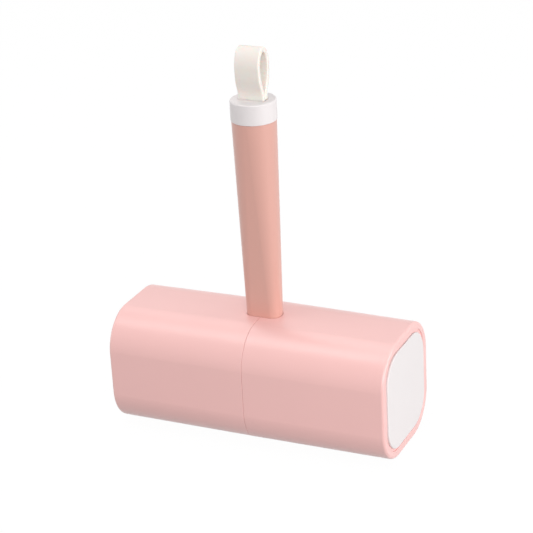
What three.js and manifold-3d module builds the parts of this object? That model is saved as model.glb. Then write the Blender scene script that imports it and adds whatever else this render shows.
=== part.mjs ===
// Lint roller in a two-part case, for clothes.
// Millimetres, +Z up, +X along the case, -Y towards the front.
// The origin is the middle of the closed case's flat bottom.
import * as THREE from 'three';
import { ConvexGeometry } from 'three/addons/geometries/ConvexGeometry.js';
import { mergeVertices } from 'three/addons/utils/BufferGeometryUtils.js';
import Module from 'manifold-3d';

const wasm = await Module();
wasm.setup();

// ---------- driving dimensions ----------

// Case: two cups that meet in the plane x = 0.
const CASE_SIDE = 73;
const CASE_CORNER = 23.8;
const CASE_DRAFT = 0.7;
const RIM_X = 87.6;
const RIM_WIDTH = 5.4;
const RIM_CORNER = 15.5;
const WALL = 2.2;
const END_WALL_IN_X = 84.5;
const END_WALL_OUT_X = 86.8;
const SEAM_GAP = 0.05;
const SKIN = 1.0;
const TONGUE_GAP = 0.3;
const TONGUE_REACH = 3.5;
const TONGUE_ROOT = 4;
const REBATE_DEPTH = 4.1;

// White panel at each end.
const PLATE_X = 88;
const PLATE_THICKNESS = 1.1;
const PLATE_GAP = 0.9;
const PLATE_CORNER = 17.5;
const PEG_RADIUS = 1.5;
const PEG_HOLE_RADIUS = 1.9;
const PEG_SPACING = 18;
const PEG_TIP_GAP = 0.1;
const PEG_ROOT = 0.5;

// Handle, lofted from a circle down to a rounded rectangle.
const TOP_RADIUS = 12.95;
const FOOT_HALF_X = 10.75;
const FOOT_HALF_Y = 6.3;
const FOOT_CORNER = 5.4;
const HANDLE_TOP_Z = 193.2;
const HANDLE_FOOT_Z = 69.8;
const HANDLE_WALL = 2;
const NECK_GAP = 0.6;

// Cap and strap.
const CAP_RADIUS = 13.3;
const CAP_BOTTOM_Z = 193.5;
const CAP_TOP_Z = 205.6;
const CAP_ROOF = 3;
const CAP_PLUG_RADIUS = 10.1;
const CAP_PLUG_WALL = 1.2;
const CAP_PLUG_Z = 184;
const STRAP_WIDTH = 15;
const STRAP_FLARE = 0.8;
const STRAP_THICKNESS = 3;
const STRAP_LEG_Y = 1.55;
const STRAP_LEG_PULL = 7;
const STRAP_WIDE_Y = 6.2;
const STRAP_WIDE_PULL = 10.3;
const STRAP_WIDE_Z = 224.3;
const STRAP_TOP_Z = 234.4;
const STRAP_FOOT_Z = 185.5;
const STRAP_LEAN = 0.9;
const SLOT_CLEARANCE = 0.4;
const STRAP_PIN_Z = 189;
const STRAP_PIN_RADIUS = 1.2;
const STRAP_PIN_HOLE = 1.6;
const LUG_WIDTH = 12;
const LUG_THICKNESS = 2;
const LUG_Y = 4.5;
const LUG_DROP = 4;
const STRAP_PIN_TIP_GAP = 0.5;

// Roll and its hubs.
const ROLL_Z = 31;
const ROLL_HALF = 79.9;
const CORE_INNER = 19;
const CORE_OUTER = 20.5;
const STACK_INNER = 20.7;
const STACK_OUTER = 26.2;
const SHEET_GAP = 0.15;
const SHEET_THICKNESS = 0.25;
const SHEET_LIFT = 0.7;
const SHEET_SWEEP = 345;
const SHEET_START = 60;
const SHEET_STEPS = 48;
const SHEET_LIFT_SHARE = 0.06;
const AXLE_RADIUS = 3;
const AXLE_BORE = 3.1;
const AXLE_TIP_X = 70.5;
const AXLE_HEAD_RADIUS = 5;
const AXLE_HEAD = 1;
const HUB_FLANGE_RADIUS = 22.5;
const HUB_FLANGE = 0.9;
const HUB_IN_X = 80.2;
const HUB_SPIGOT_RADIUS = 18.7;
const HUB_SPIGOT_X = 66;
const HUB_WALL = 1.6;
const HUB_BOSS_RADIUS = 6;
const HUB_BOSS_X = 70;

// Yoke over the roll.
const ARM_OUT_X = 84;
const ARM_IN_X = 81.4;
const ARM_HALF_Y = 11;
const BAR_BOTTOM_Z = 61.2;
const BAR_TOP_Z = 65.8;
const RIB_TOP_Z = 68.6;
const RIB_Y = 9.2;
const RIB_THICKNESS = 1.6;
const RIB_IN_X = 14;
const NECK_TOP_Z = 69.5;
const SPIGOT_TOP_Z = 96;
const SPIGOT_GAP = 0.5;
const ARM_HOLE_RADIUS = 3.3;
const AXLE_HEAD_GAP = 0.3;
const AXLE_HEAD_SEAT_GAP = 0.1;

// Screw up the neck, its washer and the wedge that it pulls down.
const SCREW_RADIUS = 1.7;
const SCREW_HOLE = 2.1;
const SCREW_HEAD_RADIUS = 3.4;
const SCREW_HEAD = 2;
const SCREW_HEAD_TOP_RADIUS = 2.4;
const SCREW_HEAD_SHOULDER = 0.8;
const SCREW_SEAT_GAP = 0.1;
const SCREW_TOP_Z = 112;
const COUNTERBORE_RADIUS = 4.6;
const COUNTERBORE = 3.6;
const WASHER_RADIUS = 4.2;
const WASHER = 0.8;
const WEDGE_BOTTOM_Z = 98;
const WEDGE_TOP_Z = 122;
const WEDGE_GAP = 0.3;
const PILOT_RADIUS = 2;
const PILOT_TOP_Z = 116;

// Guide ribs inside the covers, beside the yoke's bar.
const GUIDE_Y = 11.4;
const GUIDE_THICKNESS = 1.4;
const GUIDE_BOTTOM_Z = 63.5;
const GUIDE_IN_X = 7;

const CORNER_STEPS = 9;
const ROUND_STEPS = 40;
const SMALL_ROUND_STEPS = 24;
const ARM_STEPS = 16;
const STRAP_STEPS = 10;

// How far a cutting solid runs past the surface that it opens.
const PAST = 1;

// ---------- materials ----------

const pinkShell = new THREE.MeshStandardMaterial({ color: 0xe6b4ae, roughness: 0.5, metalness: 0 });
const pinkHandle = new THREE.MeshStandardMaterial({ color: 0xdfa99f, roughness: 0.5, metalness: 0 });
const whitePlastic = new THREE.MeshStandardMaterial({ color: 0xf0ecec, roughness: 0.4, metalness: 0 });
const yokePlastic = new THREE.MeshStandardMaterial({ color: 0xece8e4, roughness: 0.5, metalness: 0 });
const strapRubber = new THREE.MeshStandardMaterial({ color: 0xece6da, roughness: 0.6, metalness: 0 });
const steel = new THREE.MeshStandardMaterial({ color: 0xb4b6ba, roughness: 0.35, metalness: 1 });
const cardboard = new THREE.MeshStandardMaterial({ color: 0xb28c60, roughness: 0.9, metalness: 0 });
const stickyPaper = new THREE.MeshStandardMaterial({ color: 0xf4f3ef, roughness: 0.3, metalness: 0 });

// ---------- outlines ----------

// A rounded rectangle about (cx, cy), its corners drawn as arcs.
function roundedRect(halfX, halfY, radius, cx = 0, cy = 0, steps = CORNER_STEPS) {
  const points = [];
  const centres = [[1, 1], [-1, 1], [-1, -1], [1, -1]];
  centres.forEach(([sx, sy], quarter) => {
    for (let i = 0; i <= steps; i += 1) {
      const angle = (quarter + i / steps) * Math.PI / 2;
      points.push(new THREE.Vector2(
        cx + sx * (halfX - radius) + radius * Math.cos(angle),
        cy + sy * (halfY - radius) + radius * Math.sin(angle),
      ));
    }
  });
  return points;
}

// The case's outline in (y, z), set in by inset from the outer surface.
function caseOutline(inset) {
  const half = CASE_SIDE / 2;
  return roundedRect(half - inset, half - inset, CASE_CORNER - inset, 0, half);
}

function outlineShape(points, holes = []) {
  const shape = new THREE.Shape(points);
  holes.forEach((hole) => shape.holes.push(new THREE.Path(hole)));
  return shape;
}

// ---------- solids ----------

// An outline in (y, z), extruded along X from x0 to x1.
function alongX(points, x0, x1, holes = []) {
  const options = { depth: x1 - x0, bevelEnabled: false };
  const geometry = new THREE.ExtrudeGeometry(outlineShape(points, holes), options);
  const axes = new THREE.Matrix4().makeBasis(
    new THREE.Vector3(0, 1, 0),
    new THREE.Vector3(0, 0, 1),
    new THREE.Vector3(1, 0, 0),
  );
  geometry.applyMatrix4(axes);
  geometry.translate(x0, 0, 0);
  return geometry;
}

// An outline in (x, y), extruded along Z from z0 to z1.
function alongZ(points, z0, z1) {
  const geometry = new THREE.ExtrudeGeometry(outlineShape(points), { depth: z1 - z0, bevelEnabled: false });
  geometry.translate(0, 0, z0);
  return geometry;
}

function block(x0, x1, y0, y1, z0, z1) {
  const geometry = new THREE.BoxGeometry(x1 - x0, y1 - y0, z1 - z0);
  geometry.translate((x0 + x1) / 2, (y0 + y1) / 2, (z0 + z1) / 2);
  return geometry;
}

function rodAlongX(radius, x0, x1, y, z) {
  const geometry = new THREE.CylinderGeometry(radius, radius, x1 - x0, ROUND_STEPS);
  geometry.rotateZ(-Math.PI / 2);
  geometry.translate((x0 + x1) / 2, y, z);
  return geometry;
}

function rodAlongY(radius, y0, y1, x, z) {
  const geometry = new THREE.CylinderGeometry(radius, radius, y1 - y0, SMALL_ROUND_STEPS);
  geometry.translate(x, (y0 + y1) / 2, z);
  return geometry;
}

function rodAlongZ(radius, z0, z1) {
  const geometry = new THREE.CylinderGeometry(radius, radius, z1 - z0, ROUND_STEPS);
  geometry.rotateX(Math.PI / 2);
  geometry.translate(0, 0, (z0 + z1) / 2);
  return geometry;
}

// A closed profile of [radius, height] points, turned about Z.
function turned(profile) {
  const points = [...profile, profile[0]].map(([radius, height]) => new THREE.Vector2(radius, height));
  const geometry = new THREE.LatheGeometry(points, ROUND_STEPS);
  geometry.rotateX(Math.PI / 2);
  return geometry;
}

// The same, turned about the roll's axis, with the profile's heights along +X.
function turnedOnAxle(profile) {
  const geometry = turned(profile);
  geometry.rotateY(Math.PI / 2);
  geometry.translate(0, 0, ROLL_Z);
  return geometry;
}

// ---------- booleans ----------

function toSolid(geometry) {
  const bare = geometry.clone();
  bare.deleteAttribute('normal');
  bare.deleteAttribute('uv');
  const merged = mergeVertices(bare, 1e-4);
  return new wasm.Manifold(new wasm.Mesh({
    numProp: 3,
    vertProperties: new Float32Array(merged.attributes.position.array),
    triVerts: new Uint32Array(merged.index.array),
  }));
}

function toGeometry(solid) {
  const mesh = solid.getMesh();
  const geometry = new THREE.BufferGeometry();
  geometry.setAttribute('position', new THREE.BufferAttribute(new Float32Array(mesh.vertProperties), 3));
  geometry.setIndex(new THREE.BufferAttribute(new Uint32Array(mesh.triVerts), 1));
  geometry.computeVertexNormals();
  return geometry;
}

function combine(joined, cut = []) {
  let solid = toSolid(joined[0]);
  joined.slice(1).forEach((piece) => {
    solid = solid.add(toSolid(piece));
  });
  cut.forEach((piece) => {
    solid = solid.subtract(toSolid(piece));
  });
  return toGeometry(solid);
}

// ---------- case ----------

// Draws the walls in towards the ends, with the bottom left flat.
function addDraft(geometry) {
  const position = geometry.attributes.position;
  for (let i = 0; i < position.count; i += 1) {
    const share = Math.abs(position.getX(i)) / RIM_X;
    position.setY(i, position.getY(i) * (1 - share * CASE_DRAFT / (CASE_SIDE / 2)));
    position.setZ(i, position.getZ(i) * (1 - share * CASE_DRAFT / CASE_SIDE));
  }
  geometry.computeVertexNormals();
  return geometry;
}

function neckHole() {
  const halfX = FOOT_HALF_X + NECK_GAP;
  const halfY = FOOT_HALF_Y + NECK_GAP;
  return alongZ(roundedRect(halfX, halfY, FOOT_CORNER + NECK_GAP), GUIDE_BOTTOM_Z - PAST, CASE_SIDE + PAST);
}

function pegPlaces() {
  const middle = CASE_SIDE / 2;
  return [-1, 1].flatMap((sy) => [-1, 1].map((sz) => [sy * PEG_SPACING, middle + sz * PEG_SPACING]));
}

// The right-hand cup, open towards the seam.
function coverBody() {
  const middle = CASE_SIDE / 2;
  const mouth = roundedRect(middle - RIM_WIDTH, middle - RIM_WIDTH, RIM_CORNER, 0, middle);
  const shell = combine(
    [alongX(caseOutline(0), SEAM_GAP, RIM_X)],
    [
      alongX(caseOutline(WALL), SEAM_GAP - PAST, END_WALL_IN_X),
      alongX(mouth, END_WALL_OUT_X, RIM_X + PAST),
    ],
  );
  const guides = [-1, 1].map((side) => {
    const near = side * GUIDE_Y;
    const far = side * (GUIDE_Y + GUIDE_THICKNESS);
    return block(GUIDE_IN_X, END_WALL_IN_X + WALL / 4, Math.min(near, far), Math.max(near, far),
      GUIDE_BOTTOM_Z, CASE_SIDE - WALL / 2);
  });
  const holes = pegPlaces().map(([y, z]) => rodAlongX(
    PEG_HOLE_RADIUS, END_WALL_IN_X - PAST, END_WALL_OUT_X + PAST, y, z,
  ));
  return combine([shell, ...guides], holes);
}

function coverRight() {
  const rebate = alongX(caseOutline(SKIN), SEAM_GAP - PAST, REBATE_DEPTH);
  return addDraft(combine([coverBody()], [rebate, neckHole()]));
}

function coverLeft() {
  const body = coverBody();
  body.rotateZ(Math.PI);
  const outer = caseOutline(SKIN + TONGUE_GAP);
  const tongue = alongX(outer, -TONGUE_ROOT, TONGUE_REACH, [caseOutline(WALL).reverse()]);
  return addDraft(combine([body, tongue], [neckHole()]));
}

function endPlate(side) {
  const middle = CASE_SIDE / 2;
  const half = middle - RIM_WIDTH - PLATE_GAP;
  const panel = alongX(roundedRect(half, half, PLATE_CORNER, 0, middle), PLATE_X - PLATE_THICKNESS, PLATE_X);
  const pegs = pegPlaces().map(([y, z]) => rodAlongX(
    PEG_RADIUS, END_WALL_IN_X + PEG_TIP_GAP, PLATE_X - PEG_ROOT, y, z,
  ));
  const plate = addDraft(combine([panel, ...pegs]));
  if (side < 0) {
    plate.rotateZ(Math.PI);
  }
  return plate;
}

// ---------- yoke ----------

// The handle's section at height z, set in by inset.
function handleSection(z, inset) {
  const share = (HANDLE_TOP_Z - z) / (HANDLE_TOP_Z - CASE_SIDE);
  const halfX = TOP_RADIUS + (FOOT_HALF_X - TOP_RADIUS) * share;
  const halfY = TOP_RADIUS + (FOOT_HALF_Y - TOP_RADIUS) * share;
  const radius = TOP_RADIUS + (FOOT_CORNER - TOP_RADIUS) * share;
  return roundedRect(halfX - inset, halfY - inset, radius - inset);
}

// A solid whose sides run straight between the handle's sections at z0 and z1.
function handleLoft(inset, z0, z1) {
  const ring = (z) => handleSection(z, inset).map((point) => new THREE.Vector3(point.x, point.y, z));
  return new ConvexGeometry([...ring(z0), ...ring(z1)]);
}

function arm(side) {
  const points = [new THREE.Vector2(-ARM_HALF_Y, BAR_TOP_Z), new THREE.Vector2(-ARM_HALF_Y, ROLL_Z)];
  for (let i = 1; i < ARM_STEPS; i += 1) {
    const angle = Math.PI * (1 + i / ARM_STEPS);
    points.push(new THREE.Vector2(ARM_HALF_Y * Math.cos(angle), ROLL_Z + ARM_HALF_Y * Math.sin(angle)));
  }
  points.push(new THREE.Vector2(ARM_HALF_Y, ROLL_Z), new THREE.Vector2(ARM_HALF_Y, BAR_TOP_Z));
  const x0 = side > 0 ? ARM_IN_X : -ARM_OUT_X;
  return alongX(points, x0, x0 + ARM_OUT_X - ARM_IN_X);
}

function yoke() {
  const bar = block(-ARM_OUT_X, ARM_OUT_X, -ARM_HALF_Y, ARM_HALF_Y, BAR_BOTTOM_Z, BAR_TOP_Z);
  const ribs = [-1, 1].flatMap((sx) => [-1, 1].map((sy) => block(
    Math.min(sx * RIB_IN_X, sx * ARM_OUT_X),
    Math.max(sx * RIB_IN_X, sx * ARM_OUT_X),
    sy * RIB_Y - RIB_THICKNESS / 2,
    sy * RIB_Y + RIB_THICKNESS / 2,
    BAR_TOP_Z - PAST,
    RIB_TOP_Z,
  )));
  const neck = alongZ(handleSection(HANDLE_FOOT_Z, 0), BAR_TOP_Z - PAST, NECK_TOP_Z);
  const spigot = handleLoft(HANDLE_WALL + SPIGOT_GAP, NECK_TOP_Z - PAST, SPIGOT_TOP_Z);
  const alongAxle = (radius, x0, x1, side) => rodAlongX(
    radius, Math.min(side * x0, side * x1), Math.max(side * x0, side * x1), 0, ROLL_Z,
  );
  const headSeatX = ARM_OUT_X - AXLE_HEAD - 2 * AXLE_HEAD_SEAT_GAP;
  const axleHoles = [-1, 1].flatMap((side) => [
    alongAxle(ARM_HOLE_RADIUS, ARM_IN_X - PAST, ARM_OUT_X + PAST, side),
    alongAxle(AXLE_HEAD_RADIUS + AXLE_HEAD_GAP, headSeatX, ARM_OUT_X + PAST, side),
  ]);
  return combine(
    [bar, arm(-1), arm(1), ...ribs, neck, spigot],
    [
      rodAlongZ(SCREW_HOLE, BAR_BOTTOM_Z - PAST, SPIGOT_TOP_Z + PAST),
      rodAlongZ(COUNTERBORE_RADIUS, BAR_BOTTOM_Z - PAST, BAR_BOTTOM_Z + COUNTERBORE),
      ...axleHoles,
    ],
  );
}

function axlePin(side) {
  const headX = ARM_OUT_X - AXLE_HEAD - AXLE_HEAD_SEAT_GAP;
  const pin = turnedOnAxle([
    [0, AXLE_TIP_X],
    [AXLE_RADIUS, AXLE_TIP_X],
    [AXLE_RADIUS, headX],
    [AXLE_HEAD_RADIUS, headX],
    [AXLE_HEAD_RADIUS, headX + AXLE_HEAD],
    [0, headX + AXLE_HEAD],
  ]);
  if (side < 0) {
    pin.rotateZ(Math.PI);
  }
  return pin;
}

// ---------- roll ----------

function hub(side) {
  const faceX = HUB_IN_X + HUB_FLANGE;
  const shape = turnedOnAxle([
    [AXLE_BORE, HUB_BOSS_X],
    [HUB_BOSS_RADIUS, HUB_BOSS_X],
    [HUB_BOSS_RADIUS, HUB_IN_X - HUB_WALL],
    [HUB_SPIGOT_RADIUS - HUB_WALL, HUB_IN_X - HUB_WALL],
    [HUB_SPIGOT_RADIUS - HUB_WALL, HUB_SPIGOT_X],
    [HUB_SPIGOT_RADIUS, HUB_SPIGOT_X],
    [HUB_SPIGOT_RADIUS, HUB_IN_X],
    [HUB_FLANGE_RADIUS, HUB_IN_X],
    [HUB_FLANGE_RADIUS, faceX],
    [AXLE_BORE, faceX],
  ]);
  if (side < 0) {
    shape.rotateZ(Math.PI);
  }
  return shape;
}

function sleeve(inner, outer) {
  return turnedOnAxle([
    [inner, -ROLL_HALF],
    [outer, -ROLL_HALF],
    [outer, ROLL_HALF],
    [inner, ROLL_HALF],
  ]);
}

// One wrap of paper round the stack, its starting edge standing off a little.
function outerSheet() {
  const inner = STACK_OUTER + SHEET_GAP;
  const lift = (share) => SHEET_LIFT * Math.max(0, 1 - (1 - share) / SHEET_LIFT_SHARE) ** 2;
  const at = (radius, share) => {
    const angle = THREE.MathUtils.degToRad(SHEET_START + SHEET_SWEEP * share);
    return new THREE.Vector2(radius * Math.cos(angle), ROLL_Z + radius * Math.sin(angle));
  };
  const shares = Array.from({ length: SHEET_STEPS + 1 }, (_, i) => i / SHEET_STEPS);
  const outside = shares.map((share) => at(inner + SHEET_THICKNESS + lift(share), share));
  const inside = shares.map((share) => at(inner + lift(share), share)).reverse();
  return alongX([...outside, ...inside], -ROLL_HALF, ROLL_HALF);
}

// ---------- handle ----------

function handleTube() {
  return combine(
    [handleLoft(0, HANDLE_FOOT_Z, HANDLE_TOP_Z)],
    [handleLoft(HANDLE_WALL, HANDLE_FOOT_Z - PAST, HANDLE_TOP_Z + PAST)],
  );
}

function handleWedge() {
  return combine(
    [handleLoft(HANDLE_WALL + WEDGE_GAP, WEDGE_BOTTOM_Z, WEDGE_TOP_Z)],
    [rodAlongZ(PILOT_RADIUS, WEDGE_BOTTOM_Z - PAST, PILOT_TOP_Z)],
  );
}

function handleScrew() {
  const seatZ = BAR_BOTTOM_Z + COUNTERBORE - WASHER - 2 * SCREW_SEAT_GAP;
  return turned([
    [0, seatZ - SCREW_HEAD],
    [SCREW_HEAD_TOP_RADIUS, seatZ - SCREW_HEAD],
    [SCREW_HEAD_RADIUS, seatZ - SCREW_HEAD_SHOULDER],
    [SCREW_HEAD_RADIUS, seatZ],
    [SCREW_RADIUS, seatZ],
    [SCREW_RADIUS, SCREW_TOP_Z - SCREW_RADIUS * 2],
    [0, SCREW_TOP_Z],
  ]);
}

function handleWasher() {
  const top = BAR_BOTTOM_Z + COUNTERBORE - SCREW_SEAT_GAP;
  const bottom = top - WASHER + SCREW_SEAT_GAP / 2;
  return turned([
    [SCREW_HOLE, bottom],
    [WASHER_RADIUS, bottom],
    [WASHER_RADIUS, top],
    [SCREW_HOLE, top],
  ]);
}

function handleCap() {
  const roofZ = CAP_TOP_Z - CAP_ROOF;
  const cup = turned([
    [CAP_PLUG_RADIUS, CAP_PLUG_Z],
    [CAP_PLUG_RADIUS, CAP_BOTTOM_Z],
    [CAP_RADIUS, CAP_BOTTOM_Z],
    [CAP_RADIUS, CAP_TOP_Z],
    [0, CAP_TOP_Z],
    [0, roofZ],
    [CAP_PLUG_RADIUS - CAP_PLUG_WALL, roofZ],
    [CAP_PLUG_RADIUS - CAP_PLUG_WALL, CAP_PLUG_Z],
  ]);
  const lugs = [-1, 1].map((side) => block(
    -LUG_WIDTH / 2,
    LUG_WIDTH / 2,
    side * (LUG_Y + LUG_THICKNESS / 2) - LUG_THICKNESS / 2,
    side * (LUG_Y + LUG_THICKNESS / 2) + LUG_THICKNESS / 2,
    STRAP_PIN_Z - LUG_DROP,
    roofZ + PAST,
  ));
  const slotX = (STRAP_WIDTH + STRAP_FLARE) / 2 + SLOT_CLEARANCE;
  const slotY = STRAP_LEG_Y + STRAP_THICKNESS / 2 + SLOT_CLEARANCE;
  return combine(
    [cup, ...lugs],
    [
      block(-slotX, slotX, -slotY, slotY, roofZ - PAST, CAP_TOP_Z + PAST),
      rodAlongY(STRAP_PIN_HOLE, -LUG_Y - LUG_THICKNESS - PAST, LUG_Y + LUG_THICKNESS + PAST, 0, STRAP_PIN_Z),
    ],
  );
}

function strapPin() {
  const reach = CAP_PLUG_RADIUS - CAP_PLUG_WALL - STRAP_PIN_TIP_GAP;
  return rodAlongY(STRAP_PIN_RADIUS, -reach, reach, 0, STRAP_PIN_Z);
}

// Half of the strap's centreline, as (y, z) from the leg's end up to the crown.
function strapHalf() {
  const leg = new THREE.LineCurve(
    new THREE.Vector2(STRAP_LEG_Y, STRAP_FOOT_Z),
    new THREE.Vector2(STRAP_LEG_Y, CAP_TOP_Z),
  );
  const side = new THREE.CubicBezierCurve(
    new THREE.Vector2(STRAP_LEG_Y, CAP_TOP_Z),
    new THREE.Vector2(STRAP_LEG_Y, CAP_TOP_Z + STRAP_LEG_PULL),
    new THREE.Vector2(STRAP_WIDE_Y, STRAP_WIDE_Z - STRAP_WIDE_PULL),
    new THREE.Vector2(STRAP_WIDE_Y, STRAP_WIDE_Z),
  );
  const crown = new THREE.EllipseCurve(
    0, STRAP_WIDE_Z, STRAP_WIDE_Y, STRAP_TOP_Z - STRAP_WIDE_Z, 0, Math.PI / 2, false, 0,
  );
  return [
    ...leg.getPoints(1),
    ...side.getPoints(STRAP_STEPS).slice(1),
    ...crown.getPoints(STRAP_STEPS).slice(1),
  ];
}

function strapLoop() {
  const half = strapHalf();
  const centre = [...half, ...half.slice(0, -1).reverse().map((p) => new THREE.Vector2(-p.x, p.y))];
  const offset = (side) => centre.map((point, i) => {
    const before = centre[Math.max(i - 1, 0)];
    const after = centre[Math.min(i + 1, centre.length - 1)];
    const along = after.clone().sub(before).normalize();
    const out = new THREE.Vector2(along.y, -along.x);
    return point.clone().addScaledVector(out, side * STRAP_THICKNESS / 2);
  });
  const loop = alongX([...offset(1), ...offset(-1).reverse()], -STRAP_WIDTH / 2, STRAP_WIDTH / 2);
  const position = loop.attributes.position;
  for (let i = 0; i < position.count; i += 1) {
    const rise = THREE.MathUtils.smoothstep(position.getZ(i), CAP_TOP_Z, STRAP_WIDE_Z);
    position.setX(i, position.getX(i) * (1 + (STRAP_FLARE / STRAP_WIDTH) * (1 - rise)));
    position.setY(i, position.getY(i) + STRAP_LEAN * rise);
  }
  const hole = rodAlongY(STRAP_PIN_HOLE, -LUG_Y, LUG_Y, 0, STRAP_PIN_Z);
  return combine([loop], [hole]);
}

// ---------- assembly ----------

function piece(name, geometry, material) {
  const mesh = new THREE.Mesh(geometry, material);
  mesh.name = name;
  return mesh;
}

const lintRoller = new THREE.Group();
lintRoller.add(
  piece('cover_left', coverLeft(), pinkShell),
  piece('cover_right', coverRight(), pinkShell),
  piece('end_plate_left', endPlate(-1), whitePlastic),
  piece('end_plate_right', endPlate(1), whitePlastic),
  piece('yoke', yoke(), yokePlastic),
  piece('axle_pin_left', axlePin(-1), yokePlastic),
  piece('axle_pin_right', axlePin(1), yokePlastic),
  piece('hub_left', hub(-1), yokePlastic),
  piece('hub_right', hub(1), yokePlastic),
  piece('core_tube', sleeve(CORE_INNER, CORE_OUTER), cardboard),
  piece('adhesive_roll', sleeve(STACK_INNER, STACK_OUTER), stickyPaper),
  piece('outer_sheet', outerSheet(), stickyPaper),
  piece('handle_tube', handleTube(), pinkHandle),
  piece('handle_wedge', handleWedge(), yokePlastic),
  piece('handle_screw', handleScrew(), steel),
  piece('handle_washer', handleWasher(), steel),
  piece('handle_cap', handleCap(), whitePlastic),
  piece('strap_pin', strapPin(), steel),
  piece('strap_loop', strapLoop(), strapRubber),
);

export default lintRoller;
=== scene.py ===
"""Lint roller in a two-part case: its finished surfaces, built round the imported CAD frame.

Every length is in metres, in the CAD model's own frame: +X along the case, -Y to the front, +Z up.
"""

from __future__ import annotations

import logging
import math
from collections.abc import Iterable, Sequence
from dataclasses import dataclass, field
from enum import Enum

import bmesh
import bpy
from bmesh.types import BMEdge, BMesh, BMVert
from bpy.types import Material, Node, NodeSocket, NodeTree, Object
from mathutils import Matrix, Vector


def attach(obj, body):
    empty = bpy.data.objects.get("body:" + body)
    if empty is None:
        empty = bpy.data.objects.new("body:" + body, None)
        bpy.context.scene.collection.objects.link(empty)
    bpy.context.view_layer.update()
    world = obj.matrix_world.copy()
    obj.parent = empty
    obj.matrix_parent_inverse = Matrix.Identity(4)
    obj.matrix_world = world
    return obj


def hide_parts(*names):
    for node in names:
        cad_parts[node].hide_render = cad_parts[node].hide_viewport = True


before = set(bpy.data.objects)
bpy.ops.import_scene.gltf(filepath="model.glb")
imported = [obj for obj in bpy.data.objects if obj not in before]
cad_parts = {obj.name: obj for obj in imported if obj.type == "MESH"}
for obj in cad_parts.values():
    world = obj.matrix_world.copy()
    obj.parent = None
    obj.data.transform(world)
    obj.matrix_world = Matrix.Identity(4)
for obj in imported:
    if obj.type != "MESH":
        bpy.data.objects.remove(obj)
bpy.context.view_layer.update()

log = logging.getLogger("lint_roller")

RING_STEPS = 96
TUBE_STEPS = 128
TURNED_STEPS = 64
BORE_STEPS = 48
PIN_STEPS = 32
FILLET_SEGMENTS = 6
BLOCK_SEGMENTS = 4
FLAT_FACE_WEIGHT = 80
OVERLAP = 0.001
SHARP_ANGLE = math.radians(38)

Colour = tuple[float, float, float]


class Side(Enum):
    """Which half of the object a piece belongs to."""

    LEFT = -1
    RIGHT = 1

    @property
    def word(self) -> str:
        """The side's name as it stands in the CAD nodes."""
        return self.name.lower()


class Axis(Enum):
    """The axis that a lofted piece is stacked along, with its local a, b and height axes."""

    X = ((0, 1, 0), (0, 0, 1), (1, 0, 0))
    Y = ((0, 0, 1), (1, 0, 0), (0, 1, 0))
    Z = ((1, 0, 0), (0, 1, 0), (0, 0, 1))

    def matrix(self) -> Matrix:
        """The turn from local a, b and height to the model's frame."""
        return Matrix(self.value).transposed().to_4x4()


def srgb(red: int, green: int, blue: int) -> Colour:
    """Turns a display colour into the linear colour that shaders read.

    Args:
        red: red from 0 to 255.
        green: green from 0 to 255.
        blue: blue from 0 to 255.

    Returns:
        The linear colour.
    """

    def channel(value: int) -> float:
        share = value / 255
        return share / 12.92 if share <= 0.04045 else ((share + 0.055) / 1.055) ** 2.4

    return channel(red), channel(green), channel(blue)


# ---------------------------------------------------------------------------
# Mesh tools
# ---------------------------------------------------------------------------


@dataclass(frozen=True)
class Ring:
    """One ring of a lofted piece: a rounded rectangle across the piece's axis.

    Its corner edges are rounded along the piece by fillet.
    """

    at: float
    half_a: float
    half_b: float
    corner: float
    fillet: float = 0.0
    centre_b: float = 0.0


def disc(at: float, radius: float, fillet: float = 0.0, centre_b: float = 0.0) -> Ring:
    """A round ring.

    Args:
        at: its place along the axis.
        radius: its radius.
        fillet: the rounding of its edge.
        centre_b: its centre's height off the axis.

    Returns:
        The ring.
    """
    return Ring(at, radius, radius, radius, fillet, centre_b)


def stack_ring(bm: BMesh, height: float, steps: int) -> list[BMVert]:
    """Adds a circle of radius one at a height, its points half a step off the axes.

    Args:
        bm: the mesh being made.
        height: the height.
        steps: the number of its points, a multiple of four.

    Returns:
        The circle's points.
    """
    verts = bmesh.ops.create_circle(bm, cap_ends=False, segments=steps, radius=1)["verts"]
    bmesh.ops.rotate(bm, verts=verts, matrix=Matrix.Rotation(math.pi / steps, 3, "Z"))
    bmesh.ops.translate(bm, verts=verts, vec=(0, 0, height))
    return verts


def place_ring(bm: BMesh, verts: Sequence[BMVert], ring: Ring, matrix: Matrix) -> None:
    """Gives a stacked circle its ring's size and place, its quarters moved apart to make the flats.

    Args:
        bm: the mesh being made.
        verts: the circle's points.
        ring: the ring.
        matrix: the turn and shift from the ring's own frame to the model's.
    """
    for vert in verts:
        vert.co.x = vert.co.x * ring.corner + math.copysign(ring.half_a - ring.corner, vert.co.x)
        apart = math.copysign(ring.half_b - ring.corner, vert.co.y)
        vert.co.y = vert.co.y * ring.corner + apart + ring.centre_b
        vert.co.z = ring.at
    bmesh.ops.transform(bm, matrix=matrix, verts=verts)


def round_edges(bm: BMesh, edges: Iterable[BMEdge], fillet: float, segments: int) -> None:
    """Rounds edges of a solid.

    Args:
        bm: the solid.
        edges: the edges.
        fillet: the rounding's offset.
        segments: the number of its steps.
    """
    bmesh.ops.bevel(
        bm, geom=list(edges), offset=fillet, offset_type="OFFSET", segments=segments, profile=0.5,
        affect="EDGES", material=-1, clamp_overlap=True,
    )


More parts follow.
